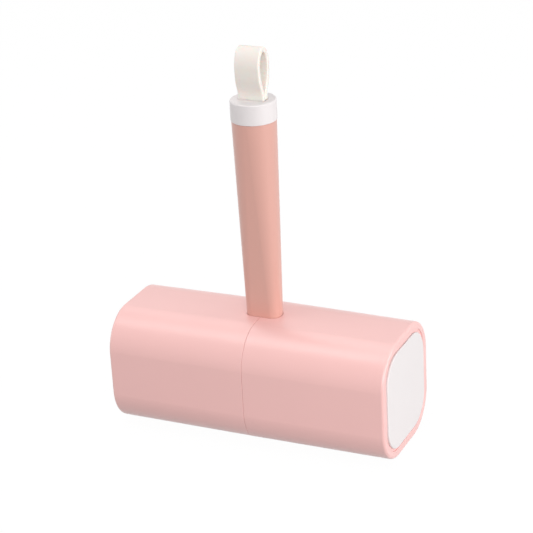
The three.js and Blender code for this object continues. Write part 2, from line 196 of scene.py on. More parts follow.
def sweep(
    rings: Sequence[Ring], frames: Sequence[Matrix], closed: bool = False, steps: int = RING_STEPS
) -> BMesh:
    """Bridges rings in order into one closed solid.

    Args:
        rings: the rings, in the order in which the surface passes through them.
        frames: for each ring, the turn and shift from its own frame to the model's.
        closed: whether the last ring joins the first, as in a tube; if not, both ends are capped.
        steps: the number of points round each ring.

    Returns:
        The solid.
    """
    bm = bmesh.new()
    circles = [stack_ring(bm, height, steps) for height in range(len(rings))]
    loops = [list({edge for vert in verts for edge in vert.link_edges}) for verts in circles]
    following = loops[1:] + ([loops[0]] if closed else [])
    for here, there in zip(loops, following):
        bmesh.ops.bridge_loops(bm, edges=here + there)
    if not closed:
        for end in (loops[0], loops[-1]):
            bmesh.ops.holes_fill(bm, edges=end, sides=0)
    for verts, ring, matrix in zip(circles, rings, frames):
        place_ring(bm, verts, ring, matrix)
    bmesh.ops.recalc_face_normals(bm, faces=bm.faces)
    for ring, edges in zip(rings, loops):
        if ring.fillet > 0:
            round_edges(bm, edges, ring.fillet, FILLET_SEGMENTS)
    return bm


def loft(rings: Sequence[Ring], axis: Axis, closed: bool = False, steps: int = RING_STEPS) -> BMesh:
    """Bridges rings that are stacked along one axis into one closed solid.

    Args:
        rings: the rings, in the order in which the surface passes through them.
        axis: the axis that they lie across.
        closed: whether the last ring joins the first, as in a tube.
        steps: the number of points round each ring.

    Returns:
        The solid.
    """
    return sweep(rings, [axis.matrix()] * len(rings), closed, steps)


def block(low: Sequence[float], high: Sequence[float], fillet: float = 0.0) -> BMesh:
    """A box between two corners, with rounded edges where a fillet is given.

    Args:
        low: the lowest corner.
        high: the highest corner.
        fillet: the rounding of its edges.

    Returns:
        The box.
    """
    bm = bmesh.new()
    size = Vector(high) - Vector(low)
    middle = (Vector(high) + Vector(low)) / 2
    bmesh.ops.create_cube(bm, size=1, matrix=Matrix.Translation(middle) @ Matrix.Diagonal((*size, 1)))
    if fillet > 0:
        round_edges(bm, bm.edges, fillet, BLOCK_SEGMENTS)
    return bm


def mirrored_blocks(
    x: tuple[float, float], y: tuple[float, float], z: tuple[float, float]
) -> list[BMesh]:
    """Two boxes that face each other across the middle plane.

    Args:
        x: where they start and end along X.
        y: how near and how far from the middle plane they stand.
        z: their bottom and top.

    Returns:
        The boxes, the rear one first.
    """
    (start, end), (near, far), (low, high) = x, y, z
    spans = ((near, far), (-far, -near))
    return [block((start, back, low), (end, front, high)) for back, front in spans]


def cross_bore(reach: float, radius: float, height: float) -> BMesh:
    """A rod along Y that cuts a cross hole.

    Args:
        reach: how far it runs to each side.
        radius: its radius.
        height: the height that it lies at.

    Returns:
        The rod.
    """
    rod = loft([disc(-reach, radius), disc(reach, radius)], Axis.Y, steps=PIN_STEPS)
    bmesh.ops.translate(rod, verts=rod.verts, vec=(0, 0, height))
    return rod


@dataclass(frozen=True)
class Opening:
    """A rounded opening down through a face, with a rounded mouth."""

    half: tuple[float, float]
    corner: float
    mouth: float
    arc_steps: int
    ring_steps: int = RING_STEPS

    def cutter(self, low: float, face: float, high: float) -> BMesh:
        """The solid that cuts it.

        Args:
            low: where the solid starts.
            face: the height of the face.
            high: where the solid ends.

        Returns:
            The solid.
        """
        half_x, half_y = self.half
        rings = [Ring(low, half_x, half_y, self.corner)]
        for step in range(self.arc_steps + 1):
            angle = math.pi / 2 * step / self.arc_steps
            grow = self.mouth * (1 - math.cos(angle))
            rise = self.mouth * (math.sin(angle) - 1)
            rings.append(Ring(face + rise, half_x + grow, half_y + grow, self.corner + grow))
        last = rings[-1]
        rings.append(Ring(high, last.half_a, last.half_b, last.corner))
        return loft(rings, Axis.Z, steps=self.ring_steps)


def turn_half(bm: BMesh) -> BMesh:
    """Turns a right-hand piece into the left-hand one, half a turn about Z."""
    bmesh.ops.rotate(bm, verts=bm.verts, matrix=Matrix.Rotation(math.pi, 3, "Z"))
    return bm


def to_object(bm: BMesh, name: str) -> Object:
    """Makes a mesh into an object at the origin and frees it.

    Args:
        bm: the mesh, in its place in the model's frame.
        name: the object's name.

    Returns:
        The object.
    """
    mesh = bpy.data.meshes.new(name)
    bm.to_mesh(mesh)
    bm.free()
    piece = bpy.data.objects.new(name, mesh)
    bpy.context.scene.collection.objects.link(piece)
    return piece


def settle(piece: Object) -> Object:
    """Turns an object's modifiers into plain mesh.

    Args:
        piece: the object.

    Returns:
        The same object, with no modifiers left.
    """
    graph = bpy.context.evaluated_depsgraph_get()
    mesh = bpy.data.meshes.new_from_object(piece.evaluated_get(graph), depsgraph=graph)
    piece.modifiers.clear()
    piece.data = mesh
    return piece


def carve(
    piece: Object,
    joined: Iterable[BMesh] = (),
    cut: Iterable[BMesh] = (),
) -> Object:
    """Joins solids to a piece and then cuts others out of it.

    Args:
        piece: the piece.
        joined: the solids that become part of it.
        cut: the solids whose space is removed.

    Returns:
        The piece.
    """
    jobs = [(tool, "UNION") for tool in joined] + [(tool, "DIFFERENCE") for tool in cut]
    for tool, operation in jobs:
        helper = to_object(tool, f"{piece.name}_tool")
        modifier = piece.modifiers.new("carve", "BOOLEAN")
        modifier.operation = operation
        modifier.solver = "EXACT"
        modifier.object = helper
        settle(piece)
        bpy.data.objects.remove(helper)
    return piece


def finish_mesh(piece: Object) -> Object:
    """Shades a piece smooth between its sharp edges, with flat faces kept flat.

    Args:
        piece: the piece.

    Returns:
        The piece.
    """
    for face in piece.data.polygons:
        face.use_smooth = True
    piece.data.set_sharp_from_angle(angle=SHARP_ANGLE)
    modifier = piece.modifiers.new("flat_faces", "WEIGHTED_NORMAL")
    modifier.keep_sharp = True
    modifier.weight = FLAT_FACE_WEIGHT
    return piece


def wide_ribbon(points: Sequence[tuple[float, float]], half_width: float, cells: int) -> BMesh:
    """A thin strip along X whose cross line follows points in (y, z).

    Args:
        points: the line that the strip follows.
        half_width: half its width along X.
        cells: the number of cells across it.

    Returns:
        The strip, with no thickness yet.
    """
    bm = bmesh.new()
    last = len(points) - 1
    bmesh.ops.create_grid(bm, x_segments=cells, y_segments=last, size=1)
    for vert in bm.verts:
        y, z = points[round((vert.co.y + 1) / 2 * last)]
        vert.co = (vert.co.x * half_width, y, z)
    return bm


# ---------------------------------------------------------------------------
# Node tools
# ---------------------------------------------------------------------------


@dataclass
class Graph:
    """A node tree being wired."""

    tree: NodeTree

    def add(self, kind: str, **settings: object) -> Node:
        """Adds a node.

        Args:
            kind: the node's type name without its ShaderNode prefix.
            **settings: its properties.

        Returns:
            The node.
        """
        prefix = "" if kind.startswith("NodeGroup") else "ShaderNode"
        node = self.tree.nodes.new(prefix + kind)
        for key, value in settings.items():
            setattr(node, key, value)
        return node

    def wire(self, source: NodeSocket | float, target: NodeSocket) -> None:
        """Links a socket, or sets its value where a number is given.

        Args:
            source: the output or the number.
            target: the input.
        """
        if isinstance(source, NodeSocket):
            self.tree.links.new(source, target)
        else:
            target.default_value = source

    def maths(self, operation: str, *values: NodeSocket | float) -> NodeSocket:
        """One step of arithmetic.

        Args:
            operation: the Math node's operation.
            *values: its inputs.

        Returns:
            The result.
        """
        node = self.add("Math", operation=operation)
        for value, target in zip(values, node.inputs):
            self.wire(value, target)
        return node.outputs[0]

    def spread(
        self, value: NodeSocket, low: float, high: float, to_low: float, to_high: float
    ) -> NodeSocket:
        """Maps a value from one range to another, clamped.

        Args:
            value: the value.
            low: the start of its range.
            high: the end of its range.
            to_low: what low becomes.
            to_high: what high becomes.

        Returns:
            The mapped value.
        """
        node = self.add("MapRange")
        for source, target in zip((value, low, high, to_low, to_high), node.inputs):
            self.wire(source, target)
        return node.outputs[0]

    def noise(self, vector: NodeSocket, scale: NodeSocket | float, detail: float = 2.0) -> NodeSocket:
        """A noise value at a place.

        Args:
            vector: the place.
            scale: features for each metre.
            detail: the number of finer octaves.

        Returns:
            The noise, about 0.5.
        """
        node = self.add("TexNoise")
        self.wire(vector, node.inputs["Vector"])
        self.wire(scale, node.inputs["Scale"])
        node.inputs["Detail"].default_value = detail
        return node.outputs["Fac"]

    def blend(
        self, share: NodeSocket | float, first: NodeSocket, second: NodeSocket,
        mode: str = "MIX",
    ) -> NodeSocket:
        """Mixes two colours.

        Args:
            share: how much of the second shows.
            first: the first colour.
            second: the second colour.
            mode: the way of mixing.

        Returns:
            The mixed colour.
        """
        node = self.add("Mix", data_type="RGBA", blend_type=mode)
        self.wire(share, node.inputs[0])
        for source, target in ((first, node.inputs[6]), (second, node.inputs[7])):
            self.wire(source, target)
        return node.outputs[2]


@dataclass(frozen=True)
class Socket:
    """A named socket of a node group."""

    name: str
    kind: str
    value: float | tuple[float, ...] | None = None


def new_group(name: str, inputs: Sequence[Socket], outputs: Sequence[Socket]) -> tuple[Graph, Node, Node]:
    """Starts a shader node group.

    Args:
        name: the group's name.
        inputs: its inputs.
        outputs: its outputs.

    Returns:
        The graph, the group's input node and its output node.
    """
    tree = bpy.data.node_groups.new(name, "ShaderNodeTree")
    for socket, direction in [(s, "INPUT") for s in inputs] + [(s, "OUTPUT") for s in outputs]:
        kind = f"NodeSocket{socket.kind}"
        made = tree.interface.new_socket(name=socket.name, in_out=direction, socket_type=kind)
        if socket.value is not None:
            made.default_value = socket.value
    graph = Graph(tree)
    return graph, graph.add("NodeGroupInput"), graph.add("NodeGroupOutput")


@dataclass
class SharedEffects:
    """The surface effects that several finishes use, each built once as a node group."""

    grain: NodeTree = field(init=False)
    edge: NodeTree = field(init=False)
    mottle: NodeTree = field(init=False)

    def __post_init__(self) -> None:
        """Builds the groups."""
        self.grain = self.build_grain()
        self.edge = self.build_painted_edge_highlight()
        self.mottle = self.build_mottle()

    def build_grain(self) -> NodeTree:
        """Fine spark-eroded grain, as a normal and a roughness that wavers.

        Returns:
            The group.
        """
        graph, given, result = new_group(
            "fine_grain",
            [
                Socket("Scale", "Float", 1500.0),
                Socket("Depth", "Float", 0.00002),
                Socket("Roughness", "Float", 0.5),
                Socket("Waver", "Float", 0.08),
            ],
            [Socket("Roughness", "Float"), Socket("Normal", "Vector")],
        )
        place = graph.add("TexCoord").outputs["Object"]
        fine = graph.noise(place, given.outputs["Scale"], 3.0)
        bump = graph.add("Bump")
        graph.wire(fine, bump.inputs["Height"])
        graph.wire(given.outputs["Depth"], bump.inputs["Distance"])
        handled = graph.maths("SUBTRACT", graph.noise(place, 38.0, 4.0), 0.5)
        wavered = graph.maths("MULTIPLY_ADD", handled, given.outputs["Waver"], given.outputs["Roughness"])
        graph.wire(wavered, result.inputs["Roughness"])
        graph.wire(bump.outputs["Normal"], result.inputs["Normal"])
        return graph.tree

    def build_painted_edge_highlight(self) -> NodeTree:
        """Paints a lighter colour along rounded edges, a painted highlight that stands in for light showing
        through the thin plastic there.

        Returns:
            The group.
        """
        graph, given, result = new_group(
            "painted_edge_highlight",
            [
                Socket("Colour", "Color", (0.5, 0.5, 0.5, 1.0)),
                Socket("Edge Colour", "Color", (0.8, 0.8, 0.8, 1.0)),
                Socket("Radius", "Float", 0.0008),
                Socket("Amount", "Float", 0.5),
            ],
            [Socket("Colour", "Color"), Socket("Mask", "Float")],
        )
        rounded = graph.add("Bevel", samples=6)
        graph.wire(given.outputs["Radius"], rounded.inputs["Radius"])
        dot = graph.add("VectorMath", operation="DOT_PRODUCT")
        graph.wire(rounded.outputs["Normal"], dot.inputs[0])
        graph.wire(graph.add("NewGeometry").outputs["Normal"], dot.inputs[1])
        mask = graph.spread(dot.outputs["Value"], 0.995, 0.82, 0.0, 1.0)
        share = graph.maths("MULTIPLY", mask, given.outputs["Amount"])
        tinted = graph.blend(share, given.outputs["Colour"], given.outputs["Edge Colour"])
        graph.wire(tinted, result.inputs["Colour"])
        graph.wire(mask, result.inputs["Mask"])
        return graph.tree

    def build_mottle(self) -> NodeTree:
        """Lets a colour drift a little in tone over the surface.

        Returns:
            The group.
        """
        graph, given, result = new_group(
            "soft_mottle",
            [
                Socket("Colour", "Color", (0.5, 0.5, 0.5, 1.0)),
                Socket("Scale", "Float", 16.0),
                Socket("Amount", "Float", 0.03),
            ],
            [Socket("Colour", "Color")],
        )
        place = graph.add("TexCoord").outputs["Object"]
        drift = graph.maths("SUBTRACT", graph.noise(place, given.outputs["Scale"], 3.0), 0.5)
        tone = graph.add("HueSaturation")
        graph.wire(graph.maths("MULTIPLY_ADD", drift, given.outputs["Amount"], 1.0), tone.inputs["Value"])
        graph.wire(given.outputs["Colour"], tone.inputs["Color"])
        graph.wire(tone.outputs["Color"], result.inputs["Colour"])
        return graph.tree


def use_group(graph: Graph, group: NodeTree, **values: object) -> Node:
    """Places a node group in a material and fills its inputs.

    Args:
        graph: the material's graph.
        group: the group.
        **values: its inputs, with underscores for the spaces in their names.

    Returns:
        The group's node.
    """
    node = graph.add("Group", node_tree=group)
    for key, value in values.items():
        target = node.inputs[key.replace("_", " ")]
        if isinstance(value, tuple):
            target.default_value = (*value, 1.0)
        else:
            graph.wire(value, target)
    return node


def start_material(name: str) -> tuple[Material, Graph, Node]:
    """A new material with its principled shader.

    Args:
        name: the material's name.

    Returns:
        The material, its graph and the shader node.
    """
    material = bpy.data.materials.new(name)
    material.use_nodes = True
    graph = Graph(material.node_tree)
    shader = material.node_tree.nodes["Principled BSDF"]
    return material, graph, shader


# ---------------------------------------------------------------------------
# Finishes
# ---------------------------------------------------------------------------


class Slot(Enum):
    """The material slots that pieces take their finish from."""

    CASE = "case_pink"
    HANDLE = "handle_pink"
    WHITE = "white_plastic"
    FRAME = "frame_plastic"
    RUBBER = "strap_rubber"
    STEEL = "steel"
    CARDBOARD = "cardboard"
    PAPER = "sticky_paper"


@dataclass(frozen=True)
class MouldedPlastic:
    """Satin moulded plastic or rubber, with grain, a drift of tone and a painted highlight along its rounded
    edges.
    """

    name: str
    base: Colour
    edge: Colour
    roughness: float = 0.42
    waver: float = 0.1
    grain_scale: float = 1700.0
    grain_depth: float = 0.000012
    mottle: float = 0.05
    painted_highlight_radius: float = 0.0007
    painted_highlight_amount: float = 0.5
    sheen: float = 0.0
    sheen_roughness: float = 0.4
    specular: float = 0.5
    subsurface: float = 0.0
    subsurface_radius: tuple[float, float, float] = (1.0, 0.45, 0.35)
    subsurface_depth: float = 0.003

    def build(self, effects: SharedEffects) -> Material:
        """Wires the material.

        Args:
            effects: the shared node groups.

        Returns:
            The material.
        """
        material, graph, shader = start_material(self.name)
        tone = use_group(graph, effects.mottle, Colour=self.base, Amount=self.mottle)
        # Lighter colour on rounded edges: a painted highlight for light showing through thin plastic.
        edge = use_group(
            graph, effects.edge, Colour=tone.outputs["Colour"], Edge_Colour=self.edge,
            Radius=self.painted_highlight_radius, Amount=self.painted_highlight_amount,
        )
        grain = use_group(
            graph, effects.grain, Scale=self.grain_scale, Depth=self.grain_depth,
            Roughness=self.roughness, Waver=self.waver,
        )
        graph.wire(edge.outputs["Colour"], shader.inputs["Base Color"])
        graph.wire(grain.outputs["Roughness"], shader.inputs["Roughness"])
        graph.wire(grain.outputs["Normal"], shader.inputs["Normal"])
        shader.inputs["Specular IOR Level"].default_value = self.specular
        shader.inputs["Sheen Weight"].default_value = self.sheen
        shader.inputs["Sheen Roughness"].default_value = self.sheen_roughness
        if self.subsurface > 0:
            shader.inputs["Subsurface Weight"].default_value = self.subsurface
            shader.inputs["Subsurface Radius"].default_value = self.subsurface_radius
            shader.inputs["Subsurface Scale"].default_value = self.subsurface_depth
        return material


@dataclass(frozen=True)
class DrawnSteel:
    """Bright drawn steel with fine lines round it."""

    name: str
    base: Colour
    roughness: float = 0.32

    def build(self, effects: SharedEffects) -> Material:
        """Wires the material.

        Args:
            effects: the shared node groups.

        Returns:
            The material.
        """
        material, graph, shader = start_material(self.name)
        tone = use_group(graph, effects.mottle, Colour=self.base, Scale=220.0, Amount=0.12)
        grain = use_group(
            graph, effects.grain, Scale=5200.0, Depth=0.00001, Roughness=self.roughness, Waver=0.2
        )
        graph.wire(tone.outputs["Colour"], shader.inputs["Base Color"])
        graph.wire(grain.outputs["Roughness"], shader.inputs["Roughness"])
        graph.wire(grain.outputs["Normal"], shader.inputs["Normal"])
        shader.inputs["Metallic"].default_value = 1.0
        return material


@dataclass(frozen=True)
class WoundCardboard:
    """Brown board wound in a spiral, with fibres and the seam between its turns."""

    name: str
    base: Colour
    seam: Colour
    pitch: float = 0.055
    roughness: float = 0.88
    centre_z: float = 0.031
    seam_fold: tuple[float, float] = (0.488, 0.497)
    fibre: float = 0.2
    fibre_scale: float = 900.0
    relief_depth: float = 0.00012

    def build(self, effects: SharedEffects) -> Material:
        """Wires the material.

        Args:
            effects: the shared node groups.

        Returns:
            The material.
        """
        material, graph, shader = start_material(self.name)
        place = graph.add("TexCoord").outputs["Object"]
        parts = graph.add("SeparateXYZ")
        graph.wire(place, parts.inputs[0])
        lift = graph.maths("SUBTRACT", parts.outputs["Z"], self.centre_z)
        angle = graph.maths("ARCTAN2", lift, parts.outputs["Y"])
        part_turn = graph.maths("DIVIDE", angle, math.tau)
        turns = graph.maths("MULTIPLY_ADD", parts.outputs["X"], 1 / self.pitch, part_turn)
        fold = graph.maths("ABSOLUTE", graph.maths("SUBTRACT", graph.maths("FRACT", turns), 0.5))
        seam = graph.spread(fold, *self.seam_fold, 0.0, 1.0)
        fibres = graph.noise(place, self.fibre_scale, 5.0)
        tone = use_group(graph, effects.mottle, Colour=self.base, Scale=420.0, Amount=0.35)
        dark = graph.add("RGB")
        dark.outputs[0].default_value = (*self.seam, 1.0)
        colour = graph.blend(seam, tone.outputs["Colour"], dark.outputs[0])
        bump = graph.add("Bump")
        relief = graph.maths("SUBTRACT", graph.maths("MULTIPLY", fibres, self.fibre), seam)
        graph.wire(relief, bump.inputs["Height"])
        bump.inputs["Distance"].default_value = self.relief_depth
        graph.wire(colour, shader.inputs["Base Color"])
        graph.wire(bump.outputs["Normal"], shader.inputs["Normal"])
        shader.inputs["Roughness"].default_value = self.roughness
        shader.inputs["Specular IOR Level"].default_value = 0.2
        return material


@dataclass(frozen=True)
class LayeredPaper:
    """Adhesive paper: glossy on its face and finely layered where its wound edges show."""

    name: str
    base: Colour
    line: Colour
    layers: float = 5200.0
    roughness: float = 0.28
    edge_roughness: float = 0.75
    face_x: float = 0.0797
    face_blend: float = 0.0001
    centre_z: float = 0.031
    wander: float = 0.00025
    wander_scale: float = 300.0
    line_strength: float = 0.55
    streak_scale: float = 120.0
    streak_waver: float = 0.16
    ripple: float = 0.6
    ripple_scale: float = 34.0
    relief_depth: float = 0.00006

    def build(self, effects: SharedEffects) -> Material:
        """Wires the material.

        Args:
            effects: the shared node groups.

        Returns:
            The material.
        """
        material, graph, shader = start_material(self.name)
        place = graph.add("TexCoord").outputs["Object"]
        parts = graph.add("SeparateXYZ")
        graph.wire(place, parts.inputs[0])
        lift = graph.maths("SUBTRACT", parts.outputs["Z"], self.centre_z)
        across = graph.maths("MULTIPLY", parts.outputs["Y"], parts.outputs["Y"])
        squares = graph.maths("MULTIPLY_ADD", lift, lift, across)
        radius = graph.maths("SQRT", squares)
        wander = graph.maths("MULTIPLY", graph.noise(place, self.wander_scale, 3.0), self.wander)
        wound = graph.maths("ADD", radius, wander)
        wave = graph.maths("SINE", graph.maths("MULTIPLY", wound, self.layers * math.tau))
        line = graph.spread(wave, -1.0, 1.0, 0.0, 1.0)
        out = graph.maths("ABSOLUTE", parts.outputs["X"])
        at_end = graph.spread(out, self.face_x, self.face_x + self.face_blend, 0.0, 1.0)
        share = graph.maths("MULTIPLY", graph.maths("MULTIPLY", line, at_end), self.line_strength)
        tone = use_group(graph, effects.mottle, Colour=self.base, Scale=60.0, Amount=0.05)
        dark = graph.add("RGB")
        dark.outputs[0].default_value = (*self.line, 1.0)
        graph.wire(graph.blend(share, tone.outputs["Colour"], dark.outputs[0]), shader.inputs["Base Color"])
        rough = graph.spread(at_end, 0.0, 1.0, self.roughness, self.edge_roughness)
        streaks = graph.maths("SUBTRACT", graph.noise(place, self.streak_scale, 3.0), 0.5)
        graph.wire(graph.maths("MULTIPLY_ADD", streaks, self.streak_waver, rough), shader.inputs["Roughness"])
        bump = graph.add("Bump")
        ripple = graph.maths("MULTIPLY", graph.noise(place, self.ripple_scale, 1.0), self.ripple)
        relief = graph.maths("SUBTRACT", ripple, graph.maths("MULTIPLY", line, at_end))
        graph.wire(relief, bump.inputs["Height"])
        bump.inputs["Distance"].default_value = self.relief_depth
        graph.wire(bump.outputs["Normal"], shader.inputs["Normal"])
        return material


# Each plastic's second colour is the painted highlight along its rounded edges.
FINISHES: dict[Slot, MouldedPlastic | DrawnSteel | WoundCardboard | LayeredPaper] = {
    Slot.CASE: MouldedPlastic(
        "case_pink_plastic", srgb(242, 191, 187), srgb(247, 208, 200), roughness=0.36, specular=0.85,
        sheen=0.25, sheen_roughness=0.3, painted_highlight_amount=0.2,
    ),
    Slot.HANDLE: MouldedPlastic(
        "handle_pink_plastic", srgb(216, 162, 149), srgb(240, 192, 180), roughness=0.34, specular=0.85,
        sheen=0.35, sheen_roughness=0.3, painted_highlight_amount=0.2,
    ),
    Slot.WHITE: MouldedPlastic(
        "white_plastic", srgb(229, 223, 223), srgb(240, 236, 235), roughness=0.34,
    ),
    Slot.FRAME: MouldedPlastic(
        "frame_plastic", srgb(232, 227, 221), srgb(246, 243, 239), roughness=0.48, mottle=0.06,
    ),
    Slot.RUBBER: MouldedPlastic(
        "strap_rubber", srgb(237, 231, 224), srgb(243, 239, 232), painted_highlight_amount=0.1, roughness=0.5, waver=0.12,
        grain_scale=2600.0, grain_depth=0.00002, mottle=0.05, subsurface=0.45,
    ),
    Slot.STEEL: DrawnSteel("drawn_steel", srgb(198, 199, 202)),
    Slot.CARDBOARD: WoundCardboard("wound_cardboard", srgb(190, 152, 110), srgb(128, 94, 62)),
    Slot.PAPER: LayeredPaper("layered_paper", srgb(240, 238, 233), srgb(196, 190, 178)),
}


# ---------------------------------------------------------------------------
# Sub-assemblies
# ---------------------------------------------------------------------------


class Body(Enum):
    """The CAD bodies that pieces ride on."""

    FRAME = "frame"
    ROLL = "roll"
    CASE_LEFT = "case_left"
    CASE_RIGHT = "case_right"

    @classmethod
    def case(cls, side: Side) -> Body:
        """The body of the case's half on that side."""
        return cls.CASE_LEFT if side is Side.LEFT else cls.CASE_RIGHT


@dataclass
class Dresser:
    """Gives pieces their finish and their body, and hides the CAD node that each one replaces."""

    materials: dict[Slot, Material]

    def dress(self, piece: Object, node: str, body: Body, slot: Slot) -> Object:
        """Finishes a new piece and reports it.

        Args:
            piece: the piece.
            node: the CAD node that it replaces.
            body: the body that it rides on.
            slot: the slot of its finish.

        Returns:
            The piece.
        """
        finish_mesh(piece)
        piece.data.materials.clear()
        piece.data.materials.append(self.materials[slot])
        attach(piece, body.value)
        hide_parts(node)
        log.info("%s: %d faces on %s in %s", piece.name, len(piece.data.polygons), body.value, slot.value)
        return piece

    def repaint(self, node: str, slot: Slot) -> None:
        """Gives a CAD node that stays in view its finish.

        Args:
            node: the node.
            slot: the slot of its finish.
        """
        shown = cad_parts[node]
        for place in shown.material_slots:
            place.material = self.materials[slot]
        log.info("%s: CAD shape in %s", node, slot.value)


@dataclass(frozen=True)
class CaseShape:
    """The case's outline across its length, which draws in a little towards the ends."""

    side: float = 0.073
    corner: float = 0.0238
    draft: float = 0.0007
    end: float = 0.0876

    def ring(self, at: float, inset: float, fillet: float = 0.0, rounder: float = 0.0) -> Ring:
        """The outline at a place along the case.

        Args:
            at: the place.
            inset: how far inside the outer surface it runs.
            fillet: the rounding of its edge.
            rounder: what its corners gain over concentric ones.

        Returns:
            The ring.
        """
        half = self.side / 2
        return Ring(at, half - inset, half - inset, self.corner - inset + rounder, fillet, half)

    def draw_in(self, piece: Object) -> Object:
        """Draws a piece's walls in towards the case's end, with the bottom left flat.

        Args:
            piece: the piece.

        Returns:
            The piece.
        """
        for vert in piece.data.vertices:
            share = abs(vert.co.x) / self.end
            vert.co.y *= 1 - share * self.draft * 2 / self.side
            vert.co.z *= 1 - share * self.draft / self.side
        return piece


@dataclass
class CaseHalf:
    """One pink cup of the case, with the white panel set in its end."""

    side: Side
    shape: CaseShape = CaseShape()
    wall: float = 0.0022
    seam: float = 0.00005
    seam_fillet: float = 0.0003
    skin: float = 0.001
    rebate: float = 0.0041
    tongue_reach: float = 0.0035
    tongue_inset: float = 0.0013
    tongue_fillet: float = 0.0003
    rim: float = 0.0054
    rim_outer_fillet: float = 0.0016
    rim_inner_fillet: float = 0.0005
    rim_sharper: float = -0.0029
    end_wall: tuple[float, float] = (0.0845, 0.0868)
    guide_x: tuple[float, float] = (0.007, 0.085)
    guide_y: tuple[float, float] = (0.0114, 0.0128)
    guide_z: tuple[float, float] = (0.0635, 0.0719)
    neck_half: tuple[float, float] = (0.01095, 0.0065)
    neck_corner: float = 0.0056
    neck_mouth: float = 0.0002
    peg_radius: float = 0.0015
    peg_hole: float = 0.0019
    peg_spread: float = 0.018
    peg_tip_gap: float = 0.0001
    panel_x: tuple[float, float] = (0.0869, 0.088)
    panel_inset: float = 0.0063
    panel_fillet: float = 0.0005

    def lip(self) -> list[Ring]:
        """The rings of the cup's open edge, inside the skin: a tongue on the left, a rebate on the right."""
        shape = self.shape
        if self.side is Side.LEFT:
            return [
                shape.ring(-self.tongue_reach, self.wall, self.tongue_fillet),
                shape.ring(-self.tongue_reach, self.tongue_inset, self.tongue_fillet),
                shape.ring(self.seam, self.tongue_inset),
            ]
        return [
            shape.ring(self.rebate, self.wall),
            shape.ring(self.rebate, self.skin),
            shape.ring(self.seam, self.skin, self.tongue_fillet / 2),
        ]

    def neck_tool(self) -> BMesh:
        """The solid that cuts the opening for the handle, with a rounded mouth at the top face.

        Returns:
            The solid.
        """
        top = self.shape.side
        opening = Opening(self.neck_half, self.neck_corner, self.neck_mouth, arc_steps=5)
        return opening.cutter(top * 0.8, top, top * 1.05)

    def peg_rods(self, radius: float, low: float, high: float) -> list[BMesh]:
        """Four rods along X where the panel's pegs pass through the end wall.

        Args:
            radius: their radius.
            low: where they start.
            high: where they end.

        Returns:
            The rods.
        """
        rods = []
        for across in (-self.peg_spread, self.peg_spread):
            for up in (-self.peg_spread, self.peg_spread):
                rod = loft([disc(low, radius), disc(high, radius)], Axis.X, steps=PIN_STEPS)
                bmesh.ops.translate(rod, verts=rod.verts, vec=(0, across, self.shape.side / 2 + up))
                rods.append(rod)
        return rods

    def guides(self) -> list[BMesh]:
        """The two ribs inside the cup that run beside the yoke's bar."""
        return mirrored_blocks(self.guide_x, self.guide_y, self.guide_z)

    def turned(self, piece: Object) -> Object:
        """Turns a piece made for the right-hand end to this half's side.

        Args:
            piece: the piece.

        Returns:
            The piece.
        """
        if self.side is Side.LEFT:
            piece.data.transform(Matrix.Rotation(math.pi, 4, "Z"))
        return piece

    def build_cup(self) -> Object:
        """Models the cup.

        Returns:
            The cup.
        """
        shape = self.shape
        rings = [
            shape.ring(self.end_wall[0], self.wall),
            *self.lip(),
            shape.ring(self.seam, 0, self.seam_fillet),
            shape.ring(shape.end, 0, self.rim_outer_fillet),
            shape.ring(shape.end, self.rim, self.rim_inner_fillet, self.rim_sharper),
            shape.ring(self.end_wall[1], self.rim, 0, self.rim_sharper),
        ]
        cup = to_object(loft(rings, Axis.X), f"cup_{self.side.word}")
        holes = self.peg_rods(self.peg_hole, self.end_wall[0] - OVERLAP, self.end_wall[1] + OVERLAP)
        carve(cup, joined=self.guides(), cut=[self.neck_tool(), *holes])
        return self.turned(shape.draw_in(cup))

    def build_panel(self) -> Object:
        """Models the end panel with its four pegs.

        Returns:
            The panel.
        """
        low, high = self.panel_x
        rings = [
            self.shape.ring(low, self.panel_inset, self.panel_fillet / 5),
            self.shape.ring(high, self.panel_inset, self.panel_fillet),
        ]
        panel = to_object(loft(rings, Axis.X), f"panel_{self.side.word}")
        pegs = self.peg_rods(self.peg_radius, self.end_wall[0] + self.peg_tip_gap, low + self.panel_fillet)
        carve(panel, joined=pegs)
        return self.turned(self.shape.draw_in(panel))

    def make(self, dresser: Dresser) -> None:
        """Builds and dresses the half.

        Args:
            dresser: what gives pieces their finish and body.
        """
        body = Body.case(self.side)
        dresser.dress(self.build_cup(), f"cover_{self.side.word}", body, Slot.CASE)
        dresser.dress(self.build_panel(), f"end_plate_{self.side.word}", body, Slot.WHITE)


@dataclass(frozen=True)
class HandleShape:
    """The handle's section, which runs straight from a circle at the top to a rounded rectangle."""

    top_radius: float = 0.01295
    foot_half: tuple[float, float] = (0.01075, 0.0063)
    foot_corner: float = 0.0054
    top: float = 0.1932
    foot: float = 0.073

    def ring(self, at: float, inset: float = 0.0, fillet: float = 0.0) -> Ring:
        """The section at a height.

        Args:
            at: the height.
            inset: how far inside the outer surface it runs.
            fillet: the rounding of its edge.

        Returns:
            The ring.
        """
        share = (self.top - at) / (self.top - self.foot)
        half_x, half_y, corner = (
            self.top_radius + (foot - self.top_radius) * share - inset
            for foot in (*self.foot_half, self.foot_corner)
        )
        return Ring(at, half_x, half_y, corner, fillet)


